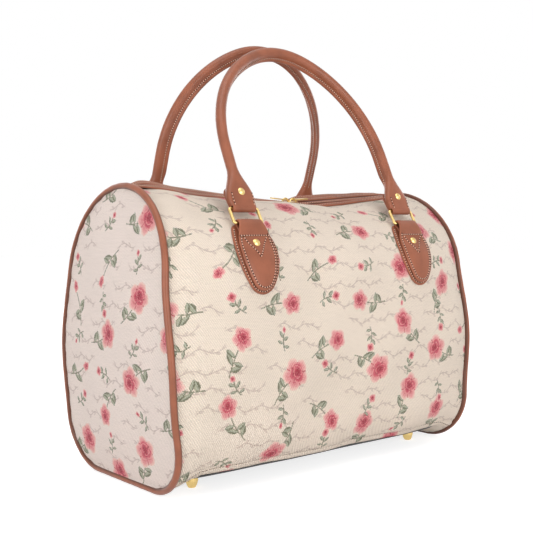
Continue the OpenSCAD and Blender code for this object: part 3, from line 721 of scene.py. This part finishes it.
def grown(name, lines, tree, settings, body):
    """Runs a tree of nodes along lines of points and keeps the result as a plain mesh."""
    points, edges = [], []
    for line in lines:
        first = len(points)
        points += (line*0.001).tolist()
        edges += [(first + i, first + i + 1) for i in range(len(line) - 1)]
    mesh = bpy.data.meshes.new(name + "_line")
    mesh.from_pydata(points, edges, [])
    guide = linked(name + "_line", mesh)
    modifier = guide.modifiers.new("grown", "NODES")
    modifier.node_group = tree
    for key, value in settings.items():
        modifier[key] = value
    depsgraph = bpy.context.evaluated_depsgraph_get()
    result = bpy.data.meshes.new_from_object(guide.evaluated_get(depsgraph))
    bpy.data.objects.remove(guide)
    piece = linked(name, result)
    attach(piece, body)
    return piece


def sewn(name, lines, body, pitch, thread, hole, material=thread_tan):
    sizes = {"Pitch": pitch, "Stitch length": pitch*stitch_share, "Thread": thread, "Hole": hole}
    settings = {sewing_keys[label]: size*0.001 for label, size in sizes.items()}
    settings[sewing_keys["Thread material"]] = material
    settings[sewing_keys["Hole material"]] = needle_hole_shade
    grown(name, lines, sewing, settings, body)


crease_rows = [int(np.argmin(np.abs(up[:, mid_col] - crease_up))), rear_row]
crease_rows = (wrap + wrap_out*seam_off)[crease_rows, seam_ends:-seam_ends]
sewn("base_seam_stitches", crease_rows, "bag", pitch=4.0, thread=0.7, hole=1.0,
     material=cream_thread)

# Zip: two strips of tan leather turned under at the lane and sewn down twice over a woven tape, with
# moulded teeth on a cord between them and two brass sliders that meet where the bag sags most.
zip_end = half_l - seam_in
zip_stops = np.unique(np.append(np.linspace(-zip_end, zip_end, 120), zip_x))
fold_r, facing_top, facing_seams = 0.8, 1.62, (3.2, 8.8)
strip = [(facing_w, 0.0), (facing_w + 0.15, 0.7), (facing_w - 0.25, 1.35), (10.6, 1.6), (8.8, 1.5),
         (7.0, 1.75), (5.0, 1.75), (3.2, 1.5), (1.8, facing_top)]
fold = np.radians(np.linspace(90, 270, 7))
strip = np.append(strip, fold_r + fold_r*placed(np.cos(fold), np.sin(fold)), axis=0)
facing_rows = []
for face, side in faces:
    x, y = zip_stops[:, None], lane + strip[:, 0]
    z = facing_level(x, y, side) + strip[:, 1] + 0.12*np.sin(x/9 + side)*np.sin(x/31)
    facing = skin(f"zip_facing_strip_{face}", placed(x, side*y, z), ring=True, caps=True)
    fitted(facing, tan_leather, node=f"zip_facing_{face}")
    for from_edge in facing_seams:
        y = lane + from_edge
        row = placed(zip_stops, side*y, facing_level(zip_stops, y, side) + facing_top)
        facing_rows.append(row[1:-1])
sewn("zip_facing_stitches", facing_rows, "bag", pitch=2.7, thread=1.05, hole=1.05)

tape_rib = 0.0009


def herringbone(tree, place):
    x, y, _ = split(tree, place)
    bone = (x + y.size()).sin(tape_rib)
    return bone.between(-1, 1), bone


def moulded(tree, place):
    return [noise(tree, place, 300.0)]


zip_weave = two_tone("zip_tape_weave", 0.85, (0.055, 0.022, 0.014), (0.105, 0.045, 0.028), herringbone,
                     0.4, 0.0002)
zip_plastic = two_tone("zip_tooth_brown", 0.38, (0.085, 0.035, 0.02), (0.13, 0.058, 0.035), moulded)
rack, rack_keys, given, made, curve, every = line_tree("zip_row", {
    "Pitch": "Float", "Tooth": "Vector", "Cord": "Float", "Material": "Material"})
tooth = add(rack, "GeometryNodeMeshCube", Size=given["Tooth"])
sown = add(rack, "GeometryNodeInstanceOnPoints", Points=every["Points"], Instance=tooth.outputs["Mesh"])
real = add(rack, "GeometryNodeRealizeInstances", Geometry=sown.outputs[0])
round_cord = add(rack, "GeometryNodeCurvePrimitiveCircle", Resolution=6, Radius=given["Cord"])
spine = add(rack, "GeometryNodeCurveToMesh", Curve=curve, Profile_Curve=round_cord.outputs["Curve"],
            Fill_Caps=True)
both = add(rack, "GeometryNodeJoinGeometry")
for part in (real, spine):
    rack.links.new(part.outputs[0], both.inputs[0])
coat = add(rack, "GeometryNodeSetMaterial", Geometry=both.outputs[0], Material=given["Material"])
rack.links.new(coat.outputs[0], made.inputs[0])
tooth_pitch, tooth_out, row_short, row_gap = 0.003, 1.75, 3, 2
tooth_settings = {rack_keys["Pitch"]: tooth_pitch, rack_keys["Tooth"]: (0.0017, 0.0024, 0.0023),
                  rack_keys["Cord"]: 0.0008, rack_keys["Material"]: zip_plastic}
for face, side in faces:
    start = row_gap if side < 0 else row_gap + 1.5
    rows = []
    for far in (-zip_end + row_short, zip_end - row_short):
        x = np.linspace(zip_x + math.copysign(start, far), far, 40)
        y = side*tooth_out
        rows.append(placed(x, y, zip_line(x) + y*zip_tilt))
    teeth = grown(f"zip_row_{face}", rows, rack, tooth_settings, "bag")
    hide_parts(f"zip_teeth_{face}")
    dress(f"zip_tape_{face}", zip_weave)
for end, _ in ends:
    dress(f"zip_slider_{end}", polished_brass)
    dress(f"zip_pull_{end}", polished_brass)

# Tabs: four leather leaves over larger backing leaves, each folded round the lower bar of a ring, stitched
# round the rim, across below the fold and in a V round the brass rivet. The upper leaf is lightly padded.
tab_angle, leaf_turn, climb_turn, back_turn = 43.5, 21.0, 7.0, 15.5
tab_tilt = math.radians(90 - tab_angle + leaf_turn)
leather_t, backing_t, fold_mid = 2.2, 1.8, 3.05
backing_r = arch_r + 0.7 + backing_t/2
leaf_r = backing_r + backing_t/2 + 0.1 + leather_t/2
fold_rho = leaf_r + fold_mid
strap_half, climb_y, backing_round = 15.0, 8.0, 6.0
leaf_dome, rivet_y, thread_off = 1.5, 13.6, 0.12


def around(radius, turn):
    """Places on a circle at turns from its top, as y and z."""
    return radius*placed(np.sin(turn), np.cos(turn))


fold_at = around(fold_rho, math.radians(leaf_turn))
leaf_line = fold_at[0] - 30


class Leaf:
    """A leaf of two arcs that meet a round tip, measured from its widest line."""

    def __init__(self, wide, reach, tip_r):
        self.big = (reach**2 + wide**2/4)/wide
        self.off = self.big - wide/2
        self.tip_r = tip_r
        self.tip_y = math.sqrt((self.big - tip_r)**2 - self.off**2)
        self.meet = self.tip_y*self.big/(self.big - tip_r)
        self.low = leaf_line - self.tip_y - tip_r

    def half(self, y, inset=0.0):
        y = y - leaf_line
        sides = np.sqrt(np.maximum((self.big - inset)**2 - y**2, 0)) - self.off
        tip = np.sqrt(np.maximum((self.tip_r - inset)**2 - (y + self.tip_y)**2, 0))
        return np.where(y > -self.meet, sides, tip)


def ribbon(line, half, thick, dome=0.0):
    """Points of a leather band along a line of y and z, with rounded edges and the outer side domed."""
    run = np.gradient(line, axis=0)
    run /= np.linalg.norm(run, axis=1, keepdims=True)
    out = placed(-run[:, 1], run[:, 0])
    half = np.maximum(half, 0.15)[:, None]
    edge = np.minimum(thick/2, half)
    share = np.linspace(-1, 1, 15)
    curl = np.radians(np.linspace(90, -90, 7))[1:-1]
    flat_x = (half - edge)*share
    curl_x, curl_up = half - edge + edge*np.cos(curl), edge*np.sin(curl)
    level = edge*np.ones_like(flat_x)
    rise = level + np.reshape(dome, (-1, 1))*(1 - share**4)*np.minimum(1, half/9)
    x = np.concatenate([flat_x, curl_x, -flat_x, -curl_x], axis=1)
    up_by = np.concatenate([rise, curl_up, -level, -curl_up], axis=1)
    yz = line[:, None, :] + up_by[..., None]*out[:, None, :]
    return np.concatenate([x[..., None], yz], axis=-1)


def stood(points, tilt, foot_y, foot_z, sy):
    """From a piece's own frame, tipped by tilt about its foot, to the front (-1) or rear (1) of the bag."""
    x, y, z = np.moveaxis(points, -1, 0)
    world_y = y*math.cos(tilt) - z*math.sin(tilt) - foot_y
    world_z = y*math.sin(tilt) + z*math.cos(tilt) + foot_z
    return placed(x, -sy*world_y, world_z)


def on_tab(points, sx, sy):
    """From a tab's own frame to the corner of the bag given by the signs sx and sy."""
    return stood((points + np.array([tab_x, 0, 0]))*(sx, 1, 1), tab_tilt, tab_y, tab_z, sy)


def over_shoulder(radius, y, *x):
    """Places at y on a round shoulder, with x in front where it is given."""
    return placed(*x, y, np.sqrt(radius**2 - y**2))


def tip_spaced(low, high, count):
    """Places from low to high that crowd towards the low end, where a leaf closes."""
    return low + (high - low)*(1 - np.cos(np.linspace(0, np.pi/2, count)))


def rounded_off(y, end, radius):
    """How much a band narrows towards its end, which has rounded corners."""
    t = np.maximum(0, y - end + radius)/(radius + 0.02)
    return radius*(1 - np.sqrt(1 - t**2))


def leaf_rise(y):
    """How far the leaf stands off the shoulder as it climbs to its fold."""
    turn = np.degrees(np.arcsin(y/fold_rho))
    return 2*fold_mid*smooth((turn - climb_turn)/(leaf_turn - climb_turn))


def leaf_swell(x, y, half):
    """Padding of the leaf, pressed down round the rivet."""
    pressed = 1 - 0.9*np.exp(-((y - rivet_y)**2)/60)
    return leaf_dome*(1 - np.clip(x/np.maximum(half - 1.1, 1), -1, 1)**4)*smooth((28 - y)/9)*pressed


upper, under = Leaf(42.0, 50.0, 14.0), Leaf(52.0, 51.0, 18.0)
lie_y = tip_spaced(upper.low + 0.02, climb_y, 56)
rise_y = np.linspace(climb_y, fold_at[0], 30)[1:]
fold_turn = np.radians(leaf_turn + np.linspace(0, 180, 22))[1:]
under_turn = np.radians(np.linspace(leaf_turn, back_turn, 8))[1:]
leaf_path = np.concatenate([over_shoulder(leaf_r, lie_y), over_shoulder(leaf_r + leaf_rise(rise_y), rise_y),
                            fold_at + around(fold_mid, fold_turn), around(leaf_r, under_turn)])
path_y, open_part = leaf_path[:, 0], len(lie_y) + len(rise_y)
leaf_half = np.maximum(upper.half(path_y), np.where(path_y > leaf_line, strap_half - 0.1, 0))
leaf_half[open_part:] = strap_half - 0.1
padding = leaf_swell(0.0, path_y, leaf_half)
padding[open_part:] = 0
leaf_form = ribbon(leaf_path, leaf_half, leather_t, padding)
under_y = tip_spaced(under.low + 0.02, fold_at[0] + 0.9, 70)
under_half = under.half(under_y) - rounded_off(under_y, under_y[-1], backing_round)
under_form = ribbon(over_shoulder(backing_r, under_y), under_half, backing_t)


def on_leaf(x, y):
    """A place on the outer side of the upper leaf."""
    half = np.maximum(upper.half(y), np.where(y > leaf_line, strap_half, 0))
    radius = leaf_r + leaf_rise(y) + leather_t/2 + leaf_swell(x, y, half) + thread_off
    return over_shoulder(radius, y, x)


rim_in, deep_in, row_y, deep_top, v_low, v_half = 2.5, 2.3, 20.8, 30.0, -1.5, 13.5
rim_y = tip_spaced(upper.low + rim_in, row_y, 90)[::-1]
rim_x = upper.half(rim_y, rim_in)
rim_row = np.concatenate([on_leaf(rim_x, rim_y), on_leaf(-rim_x, rim_y)[::-1]])
cross_row = on_leaf(np.linspace(-rim_x[0], rim_x[0], 24), row_y)
v_x = np.linspace(-v_half, v_half, 41)
v_row = on_leaf(v_x, v_low + (row_y - rim_in - v_low)*np.abs(v_x)/v_half)
deep_y = tip_spaced(under.low + deep_in, deep_top, 90)[::-1]
deep_row = over_shoulder(backing_r + backing_t/2 + thread_off, deep_y, under.half(deep_y, deep_in))
deep_row = np.concatenate([deep_row, (deep_row*(-1, 1, 1))[::-1]])
padded_leather = leather("tan_leather_padded", tan, 0.37, 0.8)
tab_rows = []
for corner, sx, sy in corners:
    for part, form, node, finish in (("leaf", leaf_form, "tab_leaf", padded_leather),
                                     ("backing_leaf", under_form, "tab_backing", tan_leather)):
        piece = skin(f"{part}_{corner}", on_tab(form, sx, sy), ring=True, caps=True)
        fitted(piece, finish, node=f"{node}_{corner}")
    tab_rows += [on_tab(row, sx, sy) for row in (rim_row, cross_row, v_row, deep_row)]
    for node in ("tab_rivet", "ring", "handle_rivet"):
        dress(f"{node}_{corner}", polished_brass)
sewn("tab_stitches", tab_rows, "bag", pitch=3.0, thread=1.05, hole=1.6)

# Handles: two leather rolls over cord, their edges sewn in a raised seam on the inside of the arch, that open
# into flat bells. Each end turns round the upper bar of its ring and is riveted and sewn to a tongue behind.
ring_lean, ring_pitch, fold_up = math.radians(31), 17.4, math.radians(tab_angle)
ring_bar_y = tab_y + fold_rho*math.cos(fold_up) - ring_pitch*math.sin(ring_lean)
ring_bar_z = tab_z + fold_rho*math.sin(fold_up) + ring_pitch*math.cos(ring_lean)
handle_rise, leg_h, crown_r, handle_r = 199.0, 70.0, 90.0, 5.7
crown_place = {"front": handle_r + 0.4, "rear": 23.0}
arch_rise = handle_rise - leg_h
side_r = (tab_x**2 + arch_rise**2 - 2*arch_rise*crown_r)/(2*(tab_x - crown_r))
sweep = math.acos((side_r - tab_x)/(side_r - crown_r))
side_end = leg_h + side_r*sweep
half_line = side_end + crown_r*(math.pi/2 - sweep)
crown_z = leg_h + (side_r - crown_r)*math.sin(sweep)
bell_half, bell_h, bell_mid = 16.5, 46.0, 11.0
flat_h, mouth_half = bell_h*0.66, strap_half - 0.4
loop_out = fold_mid + leather_t/2
mouth_t = loop_out + 0.08
fin_h, fin_turn, fin_edge, end_tuck = 4.6, 0.29, 0.85, 2.2


def handle_line(s):
    """Middle line of a handle at length s from the ring: x and z, and the direction out of the arch."""
    turn = np.where(s < side_end, np.maximum(0, s - leg_h)/side_r, sweep + (s - side_end)/crown_r)
    out = placed(np.cos(turn), np.sin(turn))
    leg = placed(tab_x, s)
    arc = np.array([tab_x - side_r, leg_h]) + side_r*out
    crown = np.array([0, crown_z]) + crown_r*out
    at = np.where((s < leg_h)[:, None], leg, np.where((s < side_end)[:, None], arc, crown))
    return at, out


def on_handle(points, face, sy):
    """From a handle's own frame, standing on its ring, to the bag."""
    lean = math.asin((ring_bar_y - crown_place[face])/handle_rise)
    return stood(points, -lean, ring_bar_y, ring_bar_z, sy)


def handle_rings(s, turn, sign, off):
    """Points round a handle at lengths s and at turns from its seam, which lies half towards the other handle
    and half into the arch. sign -1 gives the left leg."""
    at, out = handle_line(s)
    seam = np.radians(130 + 12*smooth((s - bell_h)/(half_line - bell_h)))[:, None]
    opening = mouth_half + (bell_half - mouth_half)*smooth(s/bell_mid)
    closing = bell_half + (handle_r - bell_half)*smooth((s - bell_mid)/(bell_h - bell_mid))
    half_w = np.where(s < bell_mid, opening, closing)[:, None]
    half_t = (mouth_t + (handle_r - mouth_t)*smooth(s/flat_h))[:, None]
    power = (2/(4 - 2*smooth(s/bell_h)))[:, None]
    c, d = np.cos(seam + turn), np.sin(seam + turn)
    fin = fin_h*smooth((s - bell_h*0.6)/(bell_h*0.5))[:, None]*np.exp(-(turn/fin_turn)**2)
    w = half_w*np.sign(c)*np.abs(c)**power + (fin + off)*c
    y = half_t*np.sign(d)*np.abs(d)**power + (fin + off)*d
    return placed(sign*(at[:, :1] + w*out[:, :1]), y, at[:, 1:] + w*out[:, 1:])


round_turn = np.concatenate([np.linspace(-fin_edge, fin_edge, 19),
                             np.linspace(fin_edge, 2*math.pi - fin_edge, 30)[1:-1]])
near_seam = np.where(round_turn > math.pi, round_turn - 2*math.pi, round_turn)
s = np.concatenate([np.linspace(2.4, bell_h, 32), np.linspace(bell_h, half_line, 80)[1:]])
wrinkle = 0.12*np.sin(s/2.6 + 2*np.sin(s/17))[:, None]*np.exp(-((np.abs(near_seam) - 0.9)/0.5)**2)
wrinkle = wrinkle*smooth((s - bell_h)/20)[:, None]
right_leg, left_leg = [handle_rings(s, near_seam, sign, wrinkle) for sign in (1, -1)]
roll = np.concatenate([right_leg, left_leg[-2::-1]])
for end_ring in (roll[0], roll[-1]):
    end_ring[:, 2] -= end_tuck*smooth((-end_ring[:, 1] - 2)/1.5)
seam_s = np.linspace(bell_h*0.85, half_line, 130)
seam_rows = [handle_rings(seam_s, np.array([off]), sign, 0.1)[:, 0]
             for sign in (1, -1) for off in (-0.36, 0.36)]

tongue_lean, tongue_h, tongue_half, tongue_round = math.radians(9), 27.0, 14.5, 9.0
tongue_in, tongue_shoulder = tongue_half - 2.4, tongue_h - tongue_round


def on_tongue(off, z):
    """Up the tongue behind a bell, as y and z, at off from the middle of the bar."""
    return placed(off*math.cos(tongue_lean) + z*math.sin(tongue_lean),
                  -off*math.sin(tongue_lean) + z*math.cos(tongue_lean))


loop_turn = np.radians(np.linspace(180, 360, 22))
loop_run = fold_mid*placed(np.cos(loop_turn), np.sin(loop_turn))
front_run = placed(-fold_mid, np.linspace(5, 0.5, 5))
tongue_z = tongue_h - tip_spaced(0, tongue_h - 0.6, 34)[::-1]
loop_path = np.concatenate([front_run, loop_run, on_tongue(fold_mid, tongue_z)])[::-1]
tongue_w = tongue_half - rounded_off(tongue_z, tongue_h, tongue_round)
loop_half = np.append(np.full(len(front_run) + len(loop_run), strap_half - 0.45), tongue_w)[::-1]
loop_form = ribbon(loop_path, loop_half, leather_t - 0.1)
bell_z = np.linspace(3.0, 13.5, 8)
bell_x = 0.80*(strap_half + smooth(bell_z/bell_mid))
bell_y = -(loop_out + 0.3 + 1.55*0.75*smooth(bell_z/flat_h))
loop_rows = [placed(side*bell_x, bell_y, bell_z) for side in (-1, 1)]
rim_z = np.linspace(3, tongue_shoulder, 12)
rim_turn = np.radians(np.linspace(0, 180, 24))[1:-1]
rim_x = tongue_in*np.concatenate([np.ones(12), np.cos(rim_turn), -np.ones(12)])
rim_z = np.concatenate([rim_z, tongue_shoulder + 6.6*np.sin(rim_turn)**0.7, rim_z[::-1]])
for off in (-leather_t/2 - 0.1, leather_t/2 + 0.1):
    loop_rows.append(np.concatenate([rim_x[:, None], on_tongue(fold_mid + off, rim_z)], axis=1))
for face, sy in faces:
    body = f"{face}_handle"
    handle = skin(f"rolled_handle_{face}", on_handle(roll, face, sy), ring=True, caps=True)
    fitted(handle, padded_leather, body, f"handle_{face}")
    rows = [on_handle(row, face, sy) for row in seam_rows]
    for end, sx in ends:
        place = np.array([sx*tab_x, 0, 0])
        loop = skin(f"handle_loop_{face}_{end}", on_handle(loop_form + place, face, sy), ring=True, caps=True)
        fitted(loop, tan_leather, body)
        rows += [on_handle(row + place, face, sy) for row in loop_rows]
    sewn(f"handle_stitches_{face}", rows, body, pitch=2.8, thread=1.0, hole=1.3)

# Studio: a white paper floor that keeps the bag's soft shadow, an even white room, and five large soft lamps:
# above, in front, to the left, behind and to the right.
white_light = (1, 1, 1, 1)


def plainly_seen(tree, lit, plain, output):
    """Shows plain to the camera, to a gloss and through a clear piece, while lit lights the rest."""
    path = tree.nodes.new("ShaderNodeLightPath").outputs
    found = Field(tree, path["Is Camera Ray"])
    for kind in ("Is Glossy Ray", "Is Transmission Ray"):
        found = found.maths("MAXIMUM", Field(tree, path[kind]))
    seen = tree.nodes.new("ShaderNodeMixShader")
    for place, value in zip(seen.inputs, (found, lit.outputs[0], plain.outputs[0])):
        feed(tree, place, value)
    tree.links.new(seen.outputs[0], tree.nodes[output].inputs["Surface"])


floor_mesh = bpy.data.meshes.new("paper_floor")
floor_mesh.from_pydata([(-9, -9, 0), (9, -9, 0), (9, 9, 0), (-9, 9, 0)], [], [(0, 1, 2, 3)])
floor = linked("paper_floor", floor_mesh)
paper, tree, surface = finish_of("white_paper", 0.95)
surface.inputs["Base Color"].default_value = (0.9, 0.9, 0.9, 1)
surface.inputs["Specular IOR Level"].default_value = 0.0
glow = add(tree, "ShaderNodeEmission", Strength=0.77)
shaded = add(tree, "ShaderNodeBsdfDiffuse", Color=(0.5, 0.5, 0.5, 1))
added = add(tree, "ShaderNodeAddShader")
for place, shader in zip(added.inputs, (shaded, glow)):
    tree.links.new(shader.outputs[0], place)
plainly_seen(tree, surface, added, "Material Output")
floor_mesh.materials.append(paper)

world = bpy.data.worlds.new("studio")
bpy.context.scene.world = world
world.use_nodes = True
tree = world.node_tree
room = tree.nodes["Background"]
room.inputs["Color"].default_value = white_light
room.inputs["Strength"].default_value = 0.5
backdrop = add(tree, "ShaderNodeBackground", Color=white_light, Strength=1.0)
plainly_seen(tree, room, backdrop, "World Output")

for name, place, aim_z, size, power in (("top_softbox", (-0.4, -0.4, 2.2), 0.15, 1.6, 17),
                                        ("front_softbox", (-0.1, -2.1, 0.50), 0.10, 1.4, 24),
                                        ("left_softbox", (-2.2, -0.6, 0.42), 0.12, 1.3, 25),
                                        ("rear_softbox", (0.2, 2.2, 0.55), 0.12, 1.4, 16),
                                        ("right_softbox", (2.2, 0.5, 0.55), 0.12, 1.4, 13)):
    lamp = bpy.data.lights.new(name, "AREA")
    lamp.shape, lamp.size, lamp.energy = "SQUARE", size, power
    light = bpy.data.objects.new(name, lamp)
    light.location = place
    light.rotation_euler = (Vector((0, 0, aim_z)) - Vector(place)).to_track_quat("-Z", "Y").to_euler()
    bpy.context.collection.objects.link(light)

turn, tip, tilt = [math.radians(angle) for angle in (-39.79, 1.94, 0.35)]
forward = Vector((-math.sin(turn)*math.cos(tip), math.cos(turn)*math.cos(tip), -math.sin(tip)))
level = Vector((math.cos(turn), math.sin(turn), 0))
above = level.cross(forward)
camera_x = level*math.cos(tilt) - above*math.sin(tilt)
camera_y = above*math.cos(tilt) + level*math.sin(tilt)
lens = bpy.data.cameras.new("camera")
lens.lens, lens.sensor_width = 61.08, 36
lens.shift_x, lens.shift_y = -0.0181, -0.0022
camera = bpy.data.objects.new("camera", lens)
turned = Matrix((camera_x, camera_y, -forward)).transposed().to_4x4()
camera.matrix_world = Matrix.Translation((-0.67324, -0.80832, 0.25378)) @ turned
bpy.context.collection.objects.link(camera)
bpy.context.scene.camera = camera
bpy.context.scene.view_settings.view_transform = "Standard"
